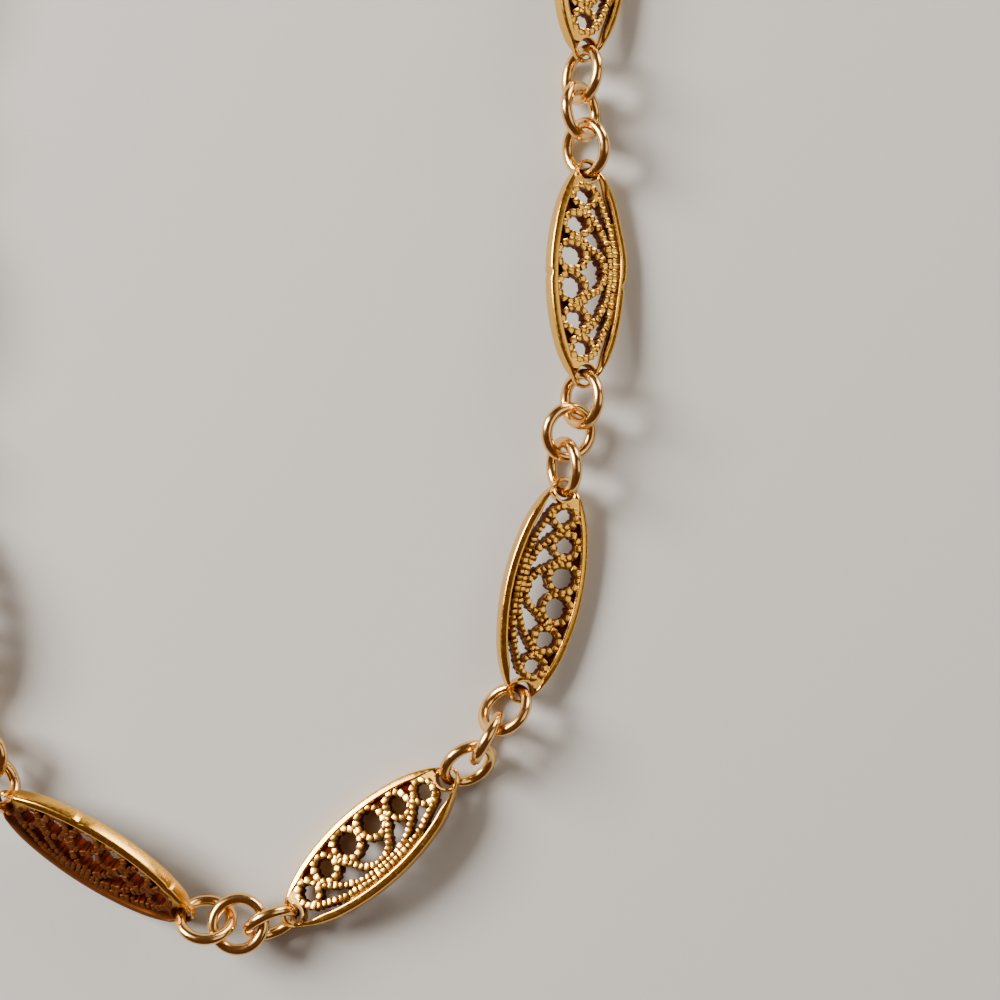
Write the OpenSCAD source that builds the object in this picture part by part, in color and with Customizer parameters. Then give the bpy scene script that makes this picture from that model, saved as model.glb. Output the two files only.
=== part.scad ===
// Filigree link necklace, laid flat as a closed loop.
// Sixteen pointed oval plaques, three round jump rings between neighbours, a bolt ring clasp.
// Z is up, the loop lies on z = 0, and Y runs from the bottom of the loop to the clasp.

/* [Plaques] */
// Distance between the two eyes of a plaque
eye_pitch = 16.4; // [14:0.1:18]
// Width of a plaque at its middle
plaque_w = 6.7; // [6:0.1:7.4]
// Height of the rim wall
plaque_t = 1.4; // [1:0.1:1.8]
// Width of the smooth rim
rim_w = 0.45; // [0.35:0.05:0.6]
// Radius of the long side arcs
belly_r = 20; // [18:0.5:22]
// Radius of the shoulder arcs near the points
shoulder_r = 9.2; // [8:0.1:10]

/* [Filigree] */
// Width of a filigree wire
wire_w = 0.55; // [0.4:0.05:0.6]
// How far the filigree lies below the rim, on each face
wire_drop = 0.1; // [0.05:0.05:0.2]
// Thickness of the web behind the relief
web_t = 0.4; // [0.3:0.05:0.6]

/* [Eyes] */
// Bore of the eye at each point
eye_bore = 1.56; // [1.5:0.02:1.6]
// Outside diameter of the eye
eye_od = 2.06; // [2:0.02:2.2]
// Thickness of the eye
eye_t = 0.5; // [0.4:0.05:0.6]

/* [Jump rings] */
// Outside diameter of a jump ring
ring_od = 4.92; // [4.9:0.01:4.95]
// Thickness of a jump ring's wire
ring_wire = 0.92; // [0.85:0.01:0.94]

/* [Clasp] */
// Outside diameter of the bolt ring
bolt_od = 6.5; // [6.4:0.1:6.6]
// Thickness of the bolt ring's tube
bolt_wire = 1.3; // [1.2:0.05:1.35]
// Outside diameter of the clasp's eye
tail_od = 3; // [2.9:0.05:3.1]
// Thickness of the clasp's eye wire
tail_wire = 0.6; // [0.5:0.05:0.65]

/* [Hidden] */
$fn = 64;
COUNT = 16;
NAMES = [for (i = [1:COUNT]) str(i < 10 ? "0" : "", i)];
function plaque_name(i) = str("plaque_", NAMES[i]);
function rings_name(i) = str("rings_", NAMES[i]);
GOLD = [0.80, 0.62, 0.33];
cut = 0.5;

// Middle radius and wire radius of a jump ring
ring_r = (ring_od - ring_wire) / 2;
wire_r = ring_wire / 2;

// The rings of the filigree, half a plaque: [distance from the middle, bore]
ROW = [[1.26, 1.6], [3.8, 1.24], [6, 1.1]];
// The row of rings follows an arc of this radius, this far from the long axis
row_arc = 18.5;
row_u = 1.33;
function row_at(v) = row_u - v * v / (2 * row_arc);

// Wires swept from the inner rings to the bundle: [start u, start v, end u, end v]
INNER_SWEEP = [0.56, 2.16, -1.55, 0];
OUTER_SWEEP = [0.94, 4.69, -1.75, 0.8];
// The outermost wire runs inside the far rim, with this gap, up to this height
far_gap = 0.25;
far_top = 6.2;
// The bundle of wire ends beside it: width and half length
bundle_w = 0.7;
bundle_half = 2;
// The web is open between the two middle wires, up to the row of rings
almond_r = 2;
almond_u = 0.6;

// Shoulder arc: the angle at which it takes over from the belly arc, and its centre
join_a = 14.8;
belly_c = belly_r - plaque_w / 2;
shoulder_u = (belly_r - shoulder_r) * cos(join_a) - belly_c;
shoulder_v = (belly_r - shoulder_r) * sin(join_a);
join_v = belly_r * sin(join_a);

// Plaques in travel order from the clasp, down the right side and up the left:
// [heading of the step from the plaque before, its length, own heading, roll, pitch, turned]
// The first row has no step before it.
// Roll lifts the right hand side, pitch lifts the far end, turned puts the row on the left.
LAY = [
    [   0.0,  0.0,  -40.5,  24, 0, 0],
    [ -58.0,  9.3,  -78.5,  25, 0, 0],
    [ -84.0,  9.3,  -90.0,  23, 0, 0],
    [ -90.0,  9.3,  -90.0,  26, 0, 0],
    [ -90.0,  9.3,  -93.9,  29, 0, 0],
    [ -88.6,  9.7,  -91.0,  25, 4, 0],
    [ -99.8,  9.3, -102.0,  19, 0, 1],
    [-129.8,  9.2, -138.4, -20, 0, 0],
    [ 176.6,  8.8,  148.0,  38, 0, 0],
    [ 118.0,  9.4,  102.4,  24, 0, 0],
    [ 100.0,  9.5,   91.0,  26, 0, 0],
    [  90.0,  9.5,   90.0,  23, 0, 0],
    [  90.0,  9.5,   90.0,  25, 0, 0],
    [  90.0,  9.5,   90.0,  24, 0, 0],
    [  84.0,  9.3,   78.5,  26, 0, 0],
    [  58.0,  9.3,   40.5,  24, 0, 0],
];
// Where the first plaque's first eye lies
START = [6.8, 90.7];

function heading_dir(a) = [cos(a), sin(a)];
function offset_by(a, along, aside) = along * heading_dir(a) + aside * heading_dir(a + 90);
function reach(i) = eye_pitch * cos(LAY[i][4]);
// First and second eye of plaque i, seen from above
function eye_in(i) = i == 0 ? START : eye_out(i - 1) + LAY[i][1] * heading_dir(LAY[i][0]);
function eye_out(i) = eye_in(i) + reach(i) * heading_dir(LAY[i][2]);

// Height of the middle of a plaque whose lowest point touches z = 0
function seat(roll, pitch) =
    let (du = abs(sin(roll) * cos(pitch)), dv = abs(sin(pitch)), m = norm([du, dv]))
    m * belly_r - belly_c * du + plaque_t / 2 * cos(roll) * cos(pitch);

// Three jump rings between two plaques: [along the step, aside, turn, tilt, pitch, lift]
// The first is measured from the first eye, the second from the middle, the third from the second eye.
// Aside is to the left, tilt lifts the right hand strand, and lift is the height above rest.
PLAIN_TRIO = [
    [ 1.95, 0, 0, -60, 0, 0],
    [ 0.00, 0, 0,  52, 0, 0.1],
    [-1.95, 0, 0, -60, 0, 0],
];
TRIO_5 = [
    [ 2.00, -0.21,  -9.8, -55.1, -2.6, 0.00],
    [ 0.06, -0.36,   6.4,  52.6, -3.9, 0.06],
    [-1.88, -0.05,   6.3, -46.1, -2.8, 0.00],
];
TRIO_6 = [
    [ 1.89,  0.17,   7.7, -51.5,  0.3, 0.54],
    [ 0.00, -0.37, -13.0,  28.7,  1.5, 0.73],
    [-1.86, -0.30,  12.4, -62.2, -0.6, 0.00],
];
TRIO_7 = [
    [ 1.96, -0.05,  -4.5, -50.1,  3.8, 0.05],
    [-0.03,  0.25,  11.2, -92.5, -0.2, 0.07],
    [-1.99,  0.49, -20.1,  45.8,  2.9, 0.02],
];
TRIO_8 = [
    [ 1.73,  0.68,  20.4,  58.0, 15.3, 0.00],
    [-0.11,  0.72,   5.9,  -9.2,  2.5, 2.16],
    [-1.92,  0.52,  -5.9, -53.4, -3.0, 0.89],
];
TRIO_9 = [
    [ 1.80,  0.12,  -2.3, -60.8,  2.7, 0.79],
    [-0.35,  0.23,  -1.3,  26.5, -1.0, 0.89],
    [-2.12,  0.25,  -3.4, -59.6, -1.2, 0.01],
];
function trio(i) = i == 4 ? TRIO_5 : i == 5 ? TRIO_6 : i == 6 ? TRIO_7
    : i == 7 ? TRIO_8 : i == 8 ? TRIO_9 : PLAIN_TRIO;

// The clasp lies between the last plaque and the first, along X:
// how far each centre is from the last plaque's eye
CLASP_AT = [2, 3.95, 8.4, 11.6];
clasp_tilt = 50;
link_tilt = -62;

module navette(grow) {
    intersection() {
        translate([-belly_c, 0]) circle(belly_r + grow);
        translate([belly_c, 0]) circle(belly_r + grow);
        square([2 * plaque_w, 2 * join_v], center = true);
    }
    for (side = [0, 1])
        mirror([0, side]) intersection() {
            translate([shoulder_u, shoulder_v]) circle(shoulder_r + grow);
            translate([-shoulder_u, shoulder_v]) circle(shoulder_r + grow);
            translate([-plaque_w, join_v]) square([2 * plaque_w, eye_pitch]);
        }
}

module slab(height) {
    translate([0, 0, -height / 2]) linear_extrude(height) children();
}

module plaque_solid() {
    relief_t = plaque_t - 2 * wire_drop;
    difference() {
        union() {
            slab(plaque_t) difference() {
                navette(0);
                navette(-rim_w);
            }
            slab(web_t) difference() {
                navette(-rim_w / 2);
                intersection() {
                    translate([almond_u, 0]) circle(almond_r);
                    translate([row_u - 2 * almond_r, -almond_r]) square(2 * almond_r);
                }
            }
            slab(relief_t) far_wire(far_gap, wire_w, far_top);
            slab(relief_t) far_wire(far_gap + wire_w, bundle_w, bundle_half);
            sweep_wire(INNER_SWEEP, relief_t, 2);
            for (side = [0, 1]) mirror([0, side, 0]) {
                for (ring = ROW) translate([row_at(ring[0]), ring[0], 0])
                    cylinder(h = relief_t, r = ring[1] / 2 + wire_w, center = true);
                sweep_wire(OUTER_SWEEP, relief_t, 1);
            }
        }
        for (side = [0, 1]) mirror([0, side, 0]) {
            for (ring = ROW) translate([row_at(ring[0]), ring[0], 0])
                cylinder(h = plaque_t, r = ring[1] / 2, center = true);
            translate([0, eye_pitch / 2, 0])
                cylinder(h = plaque_t + cut, r = eye_od / 2, center = true);
            translate([0, eye_pitch / 2 + plaque_w / 2, 0])
                cube([eye_od * 0.8, plaque_w, plaque_t + cut], center = true);
        }
    }
}

// A strip of wire that follows the far rim, set in from it
module far_wire(gap, width, half_len) {
    intersection() {
        difference() {
            navette(-rim_w - gap);
            navette(-rim_w - gap - width);
        }
        translate([-plaque_w, -half_len]) square([plaque_w, 2 * half_len]);
    }
}

// A wire on one arc that ends parallel to the long axis, or with 2 halves runs on to its mirror image
module sweep_wire(s, height, halves) {
    du = s[0] - s[2];
    dv = s[1] - s[3];
    arc_r = (du * du + dv * dv) / (2 * du);
    start_a = atan2(dv, du - arc_r);
    translate([s[2] + arc_r, s[3], 0]) rotate([0, 0, start_a]) rotate_extrude(angle = halves * (180 - start_a))
        translate([arc_r - wire_w / 2, -height / 2]) square([wire_w, height]);
}

module eyes() {
    for (side = [-1, 1]) translate([0, side * eye_pitch / 2, 0]) difference() {
        cylinder(h = eye_t, r = eye_od / 2 + 0.03, center = true);
        cylinder(h = eye_t + cut, r = eye_bore / 2, center = true);
    }
}

module plaque(i) {
    p = (eye_in(i) + eye_out(i)) / 2;
    z = seat(LAY[i][3], LAY[i][4]);
    color(GOLD) translate([p[0], p[1], z]) rotate([0, 0, LAY[i][2] - 90])
        rotate([LAY[i][4], 0, 0]) rotate([0, -LAY[i][3], 0]) rotate([0, 0, 180 * LAY[i][5]]) {
            plaque_solid();
            eyes();
        }
}

module wire_ring(mid_r, thick_r) {
    rotate_extrude() translate([mid_r, 0]) circle(thick_r);
}

// A jump ring whose own Y axis is the heading, resting on z = 0 when lift is 0
module laid_ring(p, heading, tilt, pitch, lift) {
    lean = acos(cos(tilt) * cos(pitch));
    translate([p[0], p[1], wire_r + ring_r * sin(lean) + lift]) rotate([0, 0, heading - 90])
        rotate([pitch, 0, 0]) rotate([0, -tilt, 0]) wire_ring(ring_r, wire_r);
}

module rings(i) {
    a = eye_out(i);
    b = eye_in(i + 1);
    heading = LAY[i + 1][0];
    base = [a, (a + b) / 2, b];
    color(GOLD) for (k = [0:2]) {
        row = trio(i)[k];
        laid_ring(base[k] + offset_by(heading, row[0], row[1]),
                  heading + row[2], row[3], row[4], row[5]);
    }
}

// The bolt ring with its small eye towards the last plaque
module clasp() {
    bolt_r = (bolt_od - bolt_wire) / 2;
    p = eye_out(COUNT - 1) + [CLASP_AT[2], 0];
    color(GOLD) translate([p[0], p[1], bolt_wire / 2 + bolt_r * sin(clasp_tilt)])
        rotate([0, 0, -90]) rotate([0, -clasp_tilt, 0]) {
            wire_ring(bolt_r, bolt_wire / 2);
            translate([0, CLASP_AT[1] - CLASP_AT[2], 0])
                wire_ring((tail_od - tail_wire) / 2, tail_wire / 2);
        }
}

module clasp_rings() {
    color(GOLD) for (at = [CLASP_AT[0], CLASP_AT[3]])
        laid_ring(eye_out(COUNT - 1) + [at, 0], 0, link_tilt, 0, 0);
}

for (i = [0:COUNT - 1])
    plaque(i);
for (i = [0:COUNT - 2])
    rings(i);
clasp();
clasp_rings();
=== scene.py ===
"""A filigree link necklace, laid as a closed loop on a pale surface and seen from above."""
import math
import random

import bmesh
import bpy
import numpy as np
from mathutils import Matrix, Vector


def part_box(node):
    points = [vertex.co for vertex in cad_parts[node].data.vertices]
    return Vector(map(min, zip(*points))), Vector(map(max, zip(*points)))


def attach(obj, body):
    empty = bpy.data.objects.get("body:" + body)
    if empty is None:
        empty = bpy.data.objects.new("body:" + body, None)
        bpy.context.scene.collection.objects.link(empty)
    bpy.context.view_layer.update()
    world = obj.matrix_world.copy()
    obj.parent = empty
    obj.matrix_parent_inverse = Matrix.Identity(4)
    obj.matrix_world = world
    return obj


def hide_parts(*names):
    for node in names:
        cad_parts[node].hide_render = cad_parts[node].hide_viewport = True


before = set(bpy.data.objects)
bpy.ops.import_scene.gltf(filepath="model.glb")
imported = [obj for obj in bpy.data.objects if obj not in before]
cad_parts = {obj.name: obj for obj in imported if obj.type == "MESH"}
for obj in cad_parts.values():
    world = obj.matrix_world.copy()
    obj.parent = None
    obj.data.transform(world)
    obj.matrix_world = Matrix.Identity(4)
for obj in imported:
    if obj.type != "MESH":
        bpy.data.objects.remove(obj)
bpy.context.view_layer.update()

# Plaque rims.
# Each plaque is held in a rim of flat brass strip with rounded edges and a top that slopes outward.
# Its two halves are bent to a pointed oval, filed low and narrow at the points, and soldered to
# the eyes there. They are polished bright.
MM = 0.001
# A plaque's sizes are in millimetres from its middle: u runs across it, v along it and z through it
PLAQUE_W = 6.7
EYE_V = 8.2
BELLY_R = 20.0
SHOULDER_R = 9.2
JOIN_ANGLE = math.radians(14.8)
BELLY_C = BELLY_R - PLAQUE_W / 2
JOIN_V = BELLY_R * math.sin(JOIN_ANGLE)
SHOULDER_U = (BELLY_R - SHOULDER_R) * math.cos(JOIN_ANGLE) - BELLY_C
SHOULDER_V = (BELLY_R - SHOULDER_R) * math.sin(JOIN_ANGLE)
RIM_END_V = 8.75
RIM_STEPS = 110
RIM_W = 0.72
# The rim's section: in from the outline, and up from the middle of its height
RIM_TOP = [(0.0, 0.0), (0.0, 0.34), (0.02, 0.48), (0.06, 0.56), (0.12, 0.605), (0.22, 0.637),
           (0.34, 0.664), (0.46, 0.686), (0.54, 0.697), (0.61, 0.67), (0.67, 0.56), (RIM_W, 0.32),
           (RIM_W, 0.0)]
# What is filed off towards the points: its share, where that starts, and over what length it grows
FILED_TAPER = (0.1, 6.4, 1.4)
FILED_END = (0.42, 7.7, 0.8)
FILED_SIDE = (0.58, 6.2, 2.0)
NUDGE = 0.01


def half_width(v):
    """Half the plaque's width at this distance from its middle."""
    v = abs(v)
    if v < JOIN_V:
        return math.sqrt(BELLY_R**2 - v**2) - BELLY_C
    return SHOULDER_U + math.sqrt(SHOULDER_R**2 - (v - SHOULDER_V)**2)


def ease(x):
    """Rises gently from 0 to 1."""
    x = min(max(x, 0.0), 1.0)
    return x * x * (3 - 2 * x)


def filed(v, share, start, run):
    """The share that is filed off at this distance from the middle."""
    return share * ease((abs(v) - start) / run)


def rim_height(v):
    """How much of the rim's height is left: it is low where the jump rings swing."""
    return 1 - filed(v, *FILED_TAPER) - filed(v, *FILED_END)


def rim_width(v):
    """How much of the rim's width is left."""
    return 1 - filed(v, *FILED_SIDE)


def station(u, v, heading, wide=1.0, high=1.0):
    """A place for a section: its own X lies to the right of the heading, and its Z stays up."""
    turn = Matrix.Rotation(heading - math.pi / 2, 4, "Z")
    return Matrix.Translation((u, v, 0)) @ turn @ Matrix.Diagonal((wide, 1, high, 1))


def run_strand(bm, section, stations, closed=False):
    """Extrudes a closed section from station to station."""
    corners = [bm.verts.new(stations[0] @ Vector((x, 0, z))) for x, z in section]
    start = [bm.edges.new(pair) for pair in zip(corners, corners[1:] + corners[:1])]
    ring = start
    for before, now in zip(stations, stations[1:]):
        made = bmesh.ops.extrude_edge_only(bm, edges=ring)["geom"]
        moved = [e for e in made if isinstance(e, bmesh.types.BMVert)]
        ring = [e for e in made if isinstance(e, bmesh.types.BMEdge)]
        bmesh.ops.transform(bm, matrix=now @ before.inverted(), verts=moved,
                            space=Matrix.Identity(4))
    if closed:
        bmesh.ops.bridge_loops(bm, edges=ring + start)
    else:
        bmesh.ops.holes_fill(bm, edges=ring, sides=0)
        bmesh.ops.holes_fill(bm, edges=start, sides=0)


rim_section = RIM_TOP + [(x, -z) for x, z in reversed(RIM_TOP[1:-1])]
rim_path = []
for k in range(RIM_STEPS + 1):
    # The stations lie closer together towards the points, where the rim bends most
    v = RIM_END_V * math.sin(math.pi * (k / RIM_STEPS - 0.5))
    slope = half_width(v + NUDGE) - half_width(v - NUDGE)
    rim_path.append(station(half_width(v), v, math.atan2(2 * NUDGE, slope), wide=-rim_width(v),
                            high=rim_height(v)))
filigree = bmesh.new()
run_strand(filigree, rim_section, rim_path)
near_rim = filigree.verts[:] + filigree.edges[:] + filigree.faces[:]
bmesh.ops.mirror(filigree, geom=near_rim, matrix=Matrix.Identity(4), axis="X", merge_dist=0)
rim_points = len(filigree.verts)

# Eyes at the points.
# A thick brass ring between the ends of the two strips, which the jump rings hook into. It rises to
# the level of the wires on the plaque's side and is low at the point, where the jump ring swings.
EYE_BORE_R = 0.78
EYE_R = 1.04
EYE_HALF_T = 0.26
EYE_EDGE = 0.07
EYE_STEPS = 40
# The eye's rise: how much, from how far beyond its middle, and over what length
EYE_RISE = 1.2
EYE_RISE_START = 0.1
EYE_RISE_RUN = 0.7
eye_section = [(EYE_BORE_R, -EYE_HALF_T + EYE_EDGE), (EYE_BORE_R + EYE_EDGE, -EYE_HALF_T),
               (EYE_R - EYE_EDGE, -EYE_HALF_T), (EYE_R, -EYE_HALF_T + EYE_EDGE)]
eye_section += [(x, -z) for x, z in reversed(eye_section)]
for end in (-1, 1):
    corners = [filigree.verts.new((x, end * EYE_V, z)) for x, z in eye_section]
    edges = [filigree.edges.new(pair) for pair in zip(corners, corners[1:] + corners[:1])]
    old = set(filigree.verts) - set(corners)
    bmesh.ops.spin(filigree, geom=corners + edges, cent=(0, end * EYE_V, 0), axis=(0, 0, 1),
                   angle=math.tau, steps=EYE_STEPS, use_merge=True)
    for point in set(filigree.verts) - old:
        inward = EYE_V + EYE_RISE_START - abs(point.co.y)
        point.co.z *= 1 + EYE_RISE * ease(inward / EYE_RISE_RUN)
for face in filigree.faces:
    face.smooth = True

# The row of six rings along one side.
# Each is a strip of milled brass wire on edge, bent round and soldered to its neighbours and the
# rim. The mill leaves flat-topped blocks with a notch between two, over a lower and narrower core.
# The blocks' faces are flat, so that each throws its own glint.
BLOCK_PITCH = 0.46
ROW_PITCH = 0.6
BLOCK_W = 0.56
BLOCK_LEN = 0.44
BLOCK_T = 1.26
BLOCK_EDGE = 0.08
BLOCK_TWIST = math.radians(14)
# The walls are cut at these heights, so that the painted shade can start a little below the tops
WALL_CUTS = (0.4, -0.4)
# No two blocks are alike: the range of each one's size, twist and tilt, and how far aside it sits
WIDTH_RANGE = (0.84, 1.12)
LENGTH_RANGE = (0.88, 1.12)
HEIGHT_RANGE = (0.92, 1.01)
TWIST_RANGE = (-0.2, 0.2)
TILT_RANGE = (-0.15, 0.15)
ASIDE_RANGE = (-0.03, 0.03)
CORE_W = 0.42
CORE_T = 0.92
CORE_STEP = 0.2
CORE_SECTION = [(-CORE_W / 2, -CORE_T / 2), (CORE_W / 2, -CORE_T / 2), (CORE_W / 2, 0),
                (CORE_W / 2, CORE_T / 2), (-CORE_W / 2, CORE_T / 2), (-CORE_W / 2, 0)]
ROW_U = 1.42
ROW_ARC = 18.5
# The holes' distance from the middle, and half their width and length
ROW = [(1.26, 0.98, 0.86), (3.84, 0.82, 0.7), (6.12, 0.72, 0.59)]
HOLE_STEPS = 72
ROUNDING = 1e-9
dice = random.Random(5)


def row_at(v):
    """How far the middle of the row lies from the plaque's middle. It follows the rim's bow."""
    return ROW_U - v * v / (2 * ROW_ARC)


def even_stations(points, pitch, closed):
    """Stations at an even pitch along a fine run of points."""
    run = points + points[:1] if closed else points
    lengths = [0.0]
    for a, b in zip(run, run[1:]):
        lengths.append(lengths[-1] + math.dist(a, b))
    count = max(2, round(lengths[-1] / pitch))
    places = []
    for k in range(count if closed else count + 1):
        want = lengths[-1] * k / count
        i = max(j for j in range(len(run) - 1) if lengths[j] <= want + ROUNDING)
        a, b = Vector(run[i]), Vector(run[i + 1])
        p = a.lerp(b, (want - lengths[i]) / (lengths[i + 1] - lengths[i]))
        places.append(station(p.x, p.y, math.atan2(b.y - a.y, b.x - a.x)))
    return places


def new_mesh(bm, name):
    """Makes a mesh of a finished bmesh."""
    mesh = bpy.data.meshes.new(name)
    bm.to_mesh(mesh)
    bm.free()
    return mesh


bm = bmesh.new()
bmesh.ops.create_cube(bm, size=1, matrix=Matrix.Diagonal((BLOCK_W, BLOCK_LEN, BLOCK_T, 1)))
bmesh.ops.bevel(bm, geom=bm.edges[:], offset=BLOCK_EDGE, affect="EDGES", segments=2, profile=0.5,
                material=-1)
for z in WALL_CUTS:
    bmesh.ops.bisect_plane(bm, geom=bm.verts[:] + bm.edges[:] + bm.faces[:], plane_co=(0, 0, z),
                           plane_no=(0, 0, 1))
block = new_mesh(bm, "block")


def milled_strip(bm, points, pitch=BLOCK_PITCH, closed=False):
    """A strip of milled wire on edge along a fine run of points: its core, and the blocks on it."""
    run_strand(bm, CORE_SECTION, even_stations(points, CORE_STEP, closed), closed)
    stretch = pitch / BLOCK_PITCH
    for place in even_stations(points, pitch, closed):
        size = Matrix.Diagonal([dice.uniform(*WIDTH_RANGE), dice.uniform(*LENGTH_RANGE) * stretch,
                                dice.uniform(*HEIGHT_RANGE), 1])
        twist = (Matrix.Rotation(BLOCK_TWIST + dice.uniform(*TWIST_RANGE), 4, "Z")
                 @ Matrix.Rotation(dice.uniform(*TILT_RANGE), 4, "X")
                 @ Matrix.Rotation(dice.uniform(*TILT_RANGE), 4, "Y"))
        aside = Matrix.Translation((dice.uniform(*ASIDE_RANGE), 0, 0))
        old = len(bm.verts)
        bm.from_mesh(block)
        bm.verts.ensure_lookup_table()
        bmesh.ops.transform(bm, matrix=place @ aside @ twist @ size, verts=bm.verts[old:],
                            space=Matrix.Identity(4))


angles = [math.tau * k / HOLE_STEPS for k in range(HOLE_STEPS)]
for side in (-1, 1):
    for v, hole_u, hole_v in ROW:
        ring = [(row_at(v) + (hole_u + BLOCK_W / 2) * math.cos(a),
                 side * v + (hole_v + BLOCK_W / 2) * math.sin(a)) for a in angles]
        milled_strip(filigree, ring, pitch=ROW_PITCH, closed=True)

# The swept wires.
# The same milled strip runs on from the rings, sweeps across and gathers in a bundle at the other
# side. The outermost strip goes from point to point inside the rim.
OUTER_WIRE = [(0.5, 7.02), (-0.2, 6.86), (-0.76, 6.32), (-1.14, 5.5), (-1.54, 4.6), (-1.88, 3.6),
              (-2.1, 2.5), (-2.24, 1.3), (-2.3, 0.0)]
MIDDLE_WIRE = [(0.72, 5.3), (0.2, 4.86), (-0.4, 4.24), (-1.06, 3.4), (-1.56, 2.5), (-1.84, 1.6),
               (-1.93, 0.6), (-1.94, 0.2)]
INNER_WIRE = [(1.1, 2.74), (0.5, 2.42), (-0.18, 1.88), (-0.86, 1.42), (-1.26, 0.98), (-1.46, 0.5),
              (-1.52, 0.0)]
SPAN_STEPS = 10


def eased_run(knots):
    """A smooth run through a few knots."""
    knots = [np.array(knot) for knot in knots]
    ends = [2 * knots[0] - knots[1]] + knots + [2 * knots[-1] - knots[-2]]
    run = []
    for a, b, c, d in zip(ends, ends[1:], ends[2:], ends[3:]):
        for t in np.arange(SPAN_STEPS) / SPAN_STEPS:
            run.append(tuple(0.5 * (2 * b + t * (c - a) + t**2 * (2 * a - 5 * b + 4 * c - d)
                                    + t**3 * (3 * b - a - 3 * c + d))))
    return run + [tuple(knots[-1])]


def both_halves(knots):
    """A wire that is the same on both sides of the plaque's middle."""
    return knots + [(u, -v) for u, v in reversed(knots[:-1])]


milled_strip(filigree, eased_run(both_halves(OUTER_WIRE)))
milled_strip(filigree, eased_run(both_halves(INNER_WIRE)))
for side in (-1, 1):
    milled_strip(filigree, eased_run([(u, side * v) for u, v in MIDDLE_WIRE]))

# The web.
# Solder closes the small corners between the row of rings and the near rim, and the channel
# between the outermost strip and the far rim. It sinks from the rim to a deep edge, painted dark
# with shade. At the points it is flooded up to the level of the wires.
WEB_HALF_T = 0.26
WEB_EDGE = 0.2
WEB_END_V = 6.2
CHANNEL_HALF_T = 0.5
CHANNEL_EDGE = 0.6
CHANNEL_END_V = 4.6
CHANNEL_SHUT_V = 1.2
SOLDER_HALF_T = 0.56
SOLDER_START_V = 5.85
SOLDER_END_V = 7.75
# How far the solder reaches under the rim, how far short of the holes and of the eye's middle it
# stops, and the share of its width that is left where it is shut
OVERLAP = 0.05
OFF_HOLE = 0.2
OFF_EYE = 0.7
SHUT_WIDTH = 0.02
WEB_STEPS = 72
WEB_HOLES = [(v, row_at(v), hole_u, hole_v) for v, hole_u, hole_v in ROW]
WEB_HOLES += [(EYE_V, 0, OFF_EYE, OFF_EYE)]
SHARP_ANGLE = math.radians(38)


def web_edge(v):
    """Where the solder stops beside the holes in the row, or beside the eye at the point."""
    reach = row_at(v)
    for at, centre, wide, long in WEB_HOLES:
        off = (abs(v) - at) / (long + OFF_HOLE)
        if abs(off) < 1:
            reach = max(reach, centre + (wide + OFF_HOLE) * math.sqrt(1 - off * off))
    return reach


def near_gap(v):
    """From the near rim to the holes in the row."""
    return half_width(v) - RIM_W * rim_width(v) + OVERLAP, web_edge(v)


outer_run = eased_run(OUTER_WIRE)


def channel(v):
    """From the far rim to the outermost strip."""
    beside = min(outer_run, key=lambda point: abs(point[1] - abs(v)))
    return -half_width(v) + RIM_W - OVERLAP, beside[0]


def web_strip(bm, start_v, end_v, edges_at, half_t, sunk=1.0, shut_v=0.0):
    """Fills from a rim to a sunk edge. Towards the ends it narrows to the rim over shut_v."""
    section = [(0, -sunk), (1, -1), (1, 0), (1, 1), (0, sunk), (0, 0)]
    places = []
    for k in range(WEB_STEPS + 1):
        v = start_v + (end_v - start_v) * k / WEB_STEPS
        rim_u, edge = edges_at(v)
        wide = rim_u - edge
        if shut_v:
            wide *= SHUT_WIDTH + (1 - SHUT_WIDTH) * ease((abs(end_v) - abs(v)) / shut_v)
        places.append(station(rim_u - wide, v, math.pi / 2, wide=wide, high=half_t))
    run_strand(bm, section, places)


web_strip(filigree, -WEB_END_V, WEB_END_V, near_gap, WEB_HALF_T, sunk=WEB_EDGE)
for side in (-1, 1):
    web_strip(filigree, side * SOLDER_START_V, side * SOLDER_END_V, near_gap, SOLDER_HALF_T)
web_strip(filigree, -CHANNEL_END_V, CHANNEL_END_V, channel, CHANNEL_HALF_T, sunk=CHANNEL_EDGE,
          shut_v=CHANNEL_SHUT_V)
bmesh.ops.recalc_face_normals(filigree, faces=filigree.faces[:])
plaque_mesh = new_mesh(filigree, "filigree plaque")
plaque_mesh.set_sharp_from_angle(angle=SHARP_ANGLE)

# The metal of the plaques.
# Brass, soldered, plated yellow gold and tumbled bright: a sharp mirror on the high places and the
# outer wall. Deep between the wires and in the eyes' bores the gold is painted dark brown and
# duller: painted shade.
GOLD = "EDB856"
# The dark brown of the painted shade, the stains and the painted dark reflection
GOLD_DEEP = "5E220F"
GOLD_ROUGH = (0.16, 0.28)
DEEP_ROUGH = 0.38
# Above this height the wires, and the rim, are bright. Over this depth below it they are painted
# brown: painted shade, where little light reaches
BRIGHT_Z = 0.58
RIM_BRIGHT_Z = 0.3
DARK_DEPTH = 0.14
# Painted shade inside the eyes' bores
BORE_SHADE = 0.9
# Places this close to the eye's bore, to its outer wall and to the plaque's outline are on them
ON_BORE = 0.03
ON_EYE = 0.02
ON_OUTLINE = 0.12
# Tumbling leaves finer marks than this. They are drawn this coarse, so that the gloss looks uneven
MARKS_MM = 0.35
MARKS_DETAIL = 3.0
MARKS_RANGE = (0.3, 0.7)


def inset(u, v):
    """How far inside the plaque's outline a place lies."""
    return half_width(min(abs(v), RIM_END_V)) - abs(u)


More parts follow.
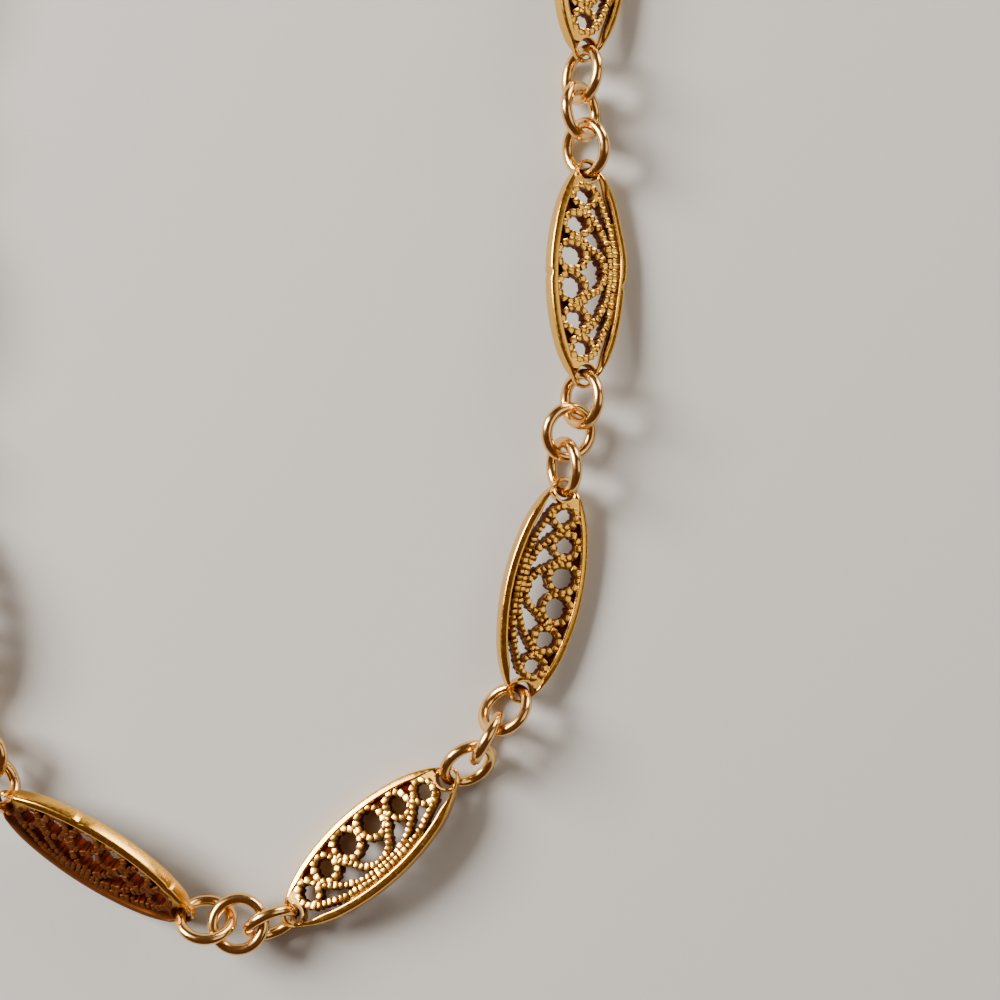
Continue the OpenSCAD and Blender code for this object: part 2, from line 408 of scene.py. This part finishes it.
def painted_shade_at(u, v, z, on_rim):
    """How much painted shade a place gets, from 0 where it keeps its bright gold to 1 where it is
    dark brown.
    """
    from_eye = math.hypot(u, abs(v) - EYE_V)
    if from_eye < EYE_BORE_R + ON_BORE:
        return BORE_SHADE
    if from_eye < EYE_R + ON_EYE or abs(v) > RIM_END_V or inset(u, v) < ON_OUTLINE:
        return 0.0
    if u < 0 and inset(u, v) < RIM_W:
        on_rim = True
    bright_z = RIM_BRIGHT_Z if on_rim else BRIGHT_Z
    return ease((bright_z * rim_height(v) - abs(z)) / DARK_DEPTH)


# Each point keeps how much painted shade it gets: dark low between the wires and in the bores;
# stains are added later
painted_shade_and_stains = plaque_mesh.attributes.new("painted_shade_and_stains", "FLOAT", "POINT")
for point, dark in zip(plaque_mesh.vertices, painted_shade_and_stains.data):
    dark.value = painted_shade_at(*point.co, point.index < rim_points)


def linear(code):
    """The linear colour of an sRGB hex value."""
    parts = [int(code[i:i + 2], 16) / 255 for i in (0, 2, 4)]
    return [c / 12.92 if c <= 0.04045 else ((c + 0.055) / 1.055)**2.4 for c in parts] + [1.0]


def add(tree, kind, settings=(), links=()):
    """Adds a node, sets its properties and inputs, and links its inputs."""
    node = tree.nodes.new(kind)
    for name, value in dict(settings).items():
        if isinstance(name, str) and hasattr(node, name):
            setattr(node, name, value)
        else:
            node.inputs[name].default_value = value
    for name, source in dict(links).items():
        tree.links.new(source, node.inputs[name])
    return node


def new_metal(name):
    """A material without nodes."""
    metal = bpy.data.materials.new(name)
    metal.use_nodes = True
    metal.node_tree.nodes.clear()
    return metal


def uneven_gloss(tree, least, most):
    """Roughness that goes from least to most in patches as wide as the tumbling marks."""
    place = add(tree, "ShaderNodeTexCoord")
    marks = add(tree, "ShaderNodeTexNoise",
                {"Scale": 1 / (MARKS_MM * MM), "Detail": MARKS_DETAIL},
                {"Vector": place.outputs["Object"]})
    rough = add(tree, "ShaderNodeMapRange",
                {"From Min": MARKS_RANGE[0], "From Max": MARKS_RANGE[1], "To Min": least,
                 "To Max": most},
                {"Value": marks.outputs["Fac"]})
    return rough.outputs["Result"]


plated = new_metal("tumbled gold plate")
tree = plated.node_tree
# The painted shade, and the stains, turn the gold towards GOLD_DEEP and dull its gloss
shade_and_stains = add(tree, "ShaderNodeAttribute", {"attribute_name": "painted_shade_and_stains"})
# A Mix node of colours has its factor at input 0, its colours at 6 and 7 and its result at 2
tone = add(tree, "ShaderNodeMix", {"data_type": "RGBA", 6: linear(GOLD), 7: linear(GOLD_DEEP)},
           {0: shade_and_stains.outputs["Fac"]})
dull = add(tree, "ShaderNodeMath", {"operation": "MULTIPLY_ADD", 1: DEEP_ROUGH},
           {0: shade_and_stains.outputs["Fac"], 2: uneven_gloss(tree, *GOLD_ROUGH)})
shine = add(tree, "ShaderNodeBsdfPrincipled", {"Metallic": 1.0},
            {"Base Color": tone.outputs[2], "Roughness": dull.outputs[0]})
add(tree, "ShaderNodeOutputMaterial", links={"Surface": shine.outputs["BSDF"]})

# The sixteen plaques.
# Each is one soldered piece of the parts above, and lies turned and tilted as its solid does. Three
# of those in view have knocks, stains or a painted dark reflection of their own. The others are as
# new.
# Knocks: their place, how far they reach, and how far out they push the metal
KNOCKS = {"plaque_06": [(3.35, -0.3, 0.32, -0.17), (-3.35, 1.2, 3.4, 0.22),
                        (-3.35, -0.85, 0.45, -0.2)],
          "plaque_09": [(2.35, -6.4, 0.35, -0.15), (3.2, 2.35, 0.5, -0.12)]}
# Black crumbs left in the channel by the far rim, not on it: their place and how far they reach
STAINS = {"plaque_07": [(-2.8, -0.7, 0.85), (-2.7, 0.6, 0.4)]}
STAIN_INSET = 0.55
STAIN_DEPTH = 1.6
# One plaque's filigree and the rim along its wires are painted dark brown: a painted dark
# reflection
PAINTED_DARK_REFLECTION = {"plaque_09": 0.92}


def own_axes(points):
    """The middle of a thin piece, its axes (across, along and through), and its points on them."""
    points = np.array(points)
    # The columns are the directions in which the points spread, from the least to the most
    axes = np.linalg.eigh(np.cov((points - points.mean(0)).T))[1]
    along = Vector(axes[:, 2])
    if along.y < 0:
        along.negate()
    through = Vector(axes[:, 0])
    across = along.cross(through)
    turn = Matrix((across, along, through)).transposed()
    local = points @ np.array(turn)
    middle = (local.min(0) + local.max(0)) / 2
    return turn @ Vector(middle), turn, local - middle


def finish_piece(name, mesh, node, material):
    """Puts a finished piece in the place of its solid."""
    piece = bpy.data.objects.new(name, mesh)
    bpy.context.scene.collection.objects.link(piece)
    mesh.materials.clear()
    mesh.materials.append(material)
    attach(piece, "root")
    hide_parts(node)


def closeness(point, u, v, reach):
    """1 at the middle of a mark and 0 at its reach."""
    return 1 - math.hypot(point.co.x - u, point.co.y - v) / reach


def wear_and_darken(mesh, name):
    """Gives a plaque the marks of its own wear, and its painted dark reflection."""
    darkness = mesh.attributes["painted_shade_and_stains"].data
    for u, v, reach, out in KNOCKS.get(name, []):
        for point in mesh.vertices:
            point.co.x += out * math.copysign(1, u) * ease(closeness(point, u, v, reach))
    for u, v, reach in STAINS.get(name, []):
        for point, dark in zip(mesh.vertices, darkness):
            if inset(point.co.x, point.co.y) > STAIN_INSET:
                stain = ease(STAIN_DEPTH * closeness(point, u, v, reach))
                dark.value = max(dark.value, stain)
    # The painted dark reflection darkens the whole filigree towards GOLD_DEEP
    if name in PAINTED_DARK_REFLECTION:
        for point, dark in zip(mesh.vertices, darkness):
            if point.co.x < 0 or inset(point.co.x, point.co.y) > RIM_W:
                dark.value += PAINTED_DARK_REFLECTION[name] * (1 - dark.value)


for node in sorted(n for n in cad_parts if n.startswith("plaque_")):
    middle, turn, local = own_axes([p.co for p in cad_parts[node].data.vertices])
    # The row lies at +X, and so do most of the solid's points
    if local[:, 0].mean() < 0:
        turn = turn @ Matrix.Rotation(math.pi, 3, "Y")
    mesh = plaque_mesh.copy()
    wear_and_darken(mesh, node)
    mesh.transform(Matrix.Translation(middle) @ turn.to_4x4() @ Matrix.Scale(MM, 4))
    finish_piece("filigree_" + node, mesh, node, plated)

# Jump rings.
# Round rings of thick round wire, three between two plaques and two beside the clasp. Each is bent
# from drawn wire, closed and brightly polished, so its gloss is nearly even. Their gold is a
# little paler than the plaques'.
RING_R = 2.0 * MM
WIRE_R = 0.46 * MM
RING_STEPS = 72
WIRE_SIDES = 20
WIRE_GOLD = "EDC078"
WIRE_ROUGH = (0.15, 0.24)
SAME_POINT = 0.001 * MM


def wire_ring(bm, middle, turn, ring_r, wire_r):
    """A closed ring of round wire."""
    made = bmesh.ops.create_circle(bm, segments=WIRE_SIDES, radius=wire_r,
                                   matrix=Matrix.Translation((ring_r, 0, 0))
                                   @ Matrix.Rotation(math.pi / 2, 4, "X"))["verts"]
    edges = list(dict.fromkeys(e for v in made for e in v.link_edges))
    old = set(bm.verts) - set(made)
    bmesh.ops.spin(bm, geom=made + edges, cent=(0, 0, 0), axis=(0, 0, 1), angle=math.tau,
                   steps=RING_STEPS, use_merge=True)
    bmesh.ops.transform(bm, matrix=Matrix.Translation(middle) @ turn.to_4x4(),
                        verts=[v for v in bm.verts if v not in old], space=Matrix.Identity(4))


def smooth_mesh(bm, name):
    """Makes a mesh of smooth faces that point outwards."""
    bmesh.ops.recalc_face_normals(bm, faces=bm.faces[:])
    for face in bm.faces:
        face.smooth = True
    return new_mesh(bm, name)


def loose_solids(mesh):
    """The points of each loose solid of a CAD node."""
    copy = bmesh.new()
    copy.from_mesh(mesh)
    bmesh.ops.remove_doubles(copy, verts=copy.verts[:], dist=SAME_POINT)
    seen, solids = set(), []
    for first in copy.verts:
        solid = [] if first in seen else [first]
        seen.add(first)
        for v in solid:
            near = [e.other_vert(v) for e in v.link_edges]
            solid += [other for other in near if other not in seen]
            seen.update(near)
        if solid:
            solids.append([tuple(v.co) for v in solid])
    copy.free()
    return solids


bright = new_metal("polished gold wire")
tree = bright.node_tree
shine = add(tree, "ShaderNodeBsdfPrincipled", {"Metallic": 1.0, "Base Color": linear(WIRE_GOLD)},
            {"Roughness": uneven_gloss(tree, *WIRE_ROUGH)})
add(tree, "ShaderNodeOutputMaterial", links={"Surface": shine.outputs["BSDF"]})

for node in sorted(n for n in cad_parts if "rings" in n):
    bm = bmesh.new()
    for points in loose_solids(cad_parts[node].data):
        middle, turn = own_axes(points)[:2]
        wire_ring(bm, middle, turn, RING_R, WIRE_R)
    finish_piece("jump_" + node, smooth_mesh(bm, "jump rings"), node, bright)

# The clasp.
# A plain bolt ring of polished tube with a small eye soldered to its back, of the same gold as the
# jump rings. It lies tilted, like the rings beside it.
BOLT_R = 2.6 * MM
BOLT_TUBE_R = 0.65 * MM
TAIL_R = 1.2 * MM
TAIL_WIRE_R = 0.3 * MM
CLASP_TILT = math.radians(50)
lo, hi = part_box("clasp")
bolt_x = hi.x - BOLT_R - BOLT_TUBE_R
tail_x = lo.x + TAIL_R + TAIL_WIRE_R
lean = Matrix.Rotation(-math.pi / 2, 3, "Z") @ Matrix.Rotation(-CLASP_TILT, 3, "Y")
bm = bmesh.new()
for x, ring_r, wire_r in [(bolt_x, BOLT_R, BOLT_TUBE_R), (tail_x, TAIL_R, TAIL_WIRE_R)]:
    wire_ring(bm, Vector((x, (lo.y + hi.y) / 2, (lo.z + hi.z) / 2)), lean, ring_r, wire_r)
finish_piece("bolt_ring_clasp", smooth_mesh(bm, "bolt ring"), "clasp", bright)

# Floor, light and camera.
# A plain surface of pale matt card, a large soft light at the upper left with three weaker ones,
# and a camera straight above the lower right part of the loop, as the photograph is taken.
# The camera's place
VIEW_X = 20.6 * MM
VIEW_Y = -56.9 * MM
VIEW_Z = 152 * MM
LENS_MM = 67.5
SENSOR_MM = 36
NEAR_CLIP = 5 * MM
# How far the card reaches from the origin, in metres
FLOOR_REACH = 1.5
CARD = "B8B9BA"
CARD_ROUGH = 0.8
ROOM = "D09478"
ROOM_STRENGTH = 0.16
# The lights' places from the middle of the view, their sizes in metres, watts and colours
LIGHTS = [("window", (-0.565, 0.25, 0.37), 0.32, 16, "FFF8EC"),
          ("blind", (-0.297, 0.193, 0.421), 0.22, 0.24, "FFF2E2"),
          ("card", (0.44, 0.015, 0.41), 0.38, 0.65, "FFF4E0"),
          ("lamp", (0.36, 0.5, 0.19), 0.3, 3.4, "FFF6E4")]

bm = bmesh.new()
bmesh.ops.create_grid(bm, x_segments=1, y_segments=1, size=FLOOR_REACH)
floor = bpy.data.objects.new("floor", new_mesh(bm, "floor"))
bpy.context.scene.collection.objects.link(floor)
pale = bpy.data.materials.new("pale card")
pale.use_nodes = True
pale.node_tree.nodes["Principled BSDF"].inputs["Base Color"].default_value = linear(CARD)
pale.node_tree.nodes["Principled BSDF"].inputs["Roughness"].default_value = CARD_ROUGH
floor.data.materials.append(pale)

for name, (x, y, z), size, watts, colour in LIGHTS:
    light = bpy.data.lights.new(name, "AREA")
    light.size = size
    light.energy = watts
    light.color = linear(colour)[:3]
    lamp = bpy.data.objects.new(name, light)
    bpy.context.scene.collection.objects.link(lamp)
    lamp.location = (VIEW_X + x, VIEW_Y + y, z)
    aim = Vector((VIEW_X, VIEW_Y, 0)) - lamp.location
    lamp.rotation_euler = aim.to_track_quat("-Z", "Y").to_euler()
world = bpy.data.worlds.new("room")
world.use_nodes = True
world.node_tree.nodes["Background"].inputs["Color"].default_value = linear(ROOM)
world.node_tree.nodes["Background"].inputs["Strength"].default_value = ROOM_STRENGTH
bpy.context.scene.world = world

lens = bpy.data.cameras.new("camera")
lens.lens = LENS_MM
lens.sensor_width = SENSOR_MM
lens.clip_start = NEAR_CLIP
camera = bpy.data.objects.new("camera", lens)
camera.location = (VIEW_X, VIEW_Y, VIEW_Z)
bpy.context.scene.collection.objects.link(camera)
bpy.context.scene.camera = camera
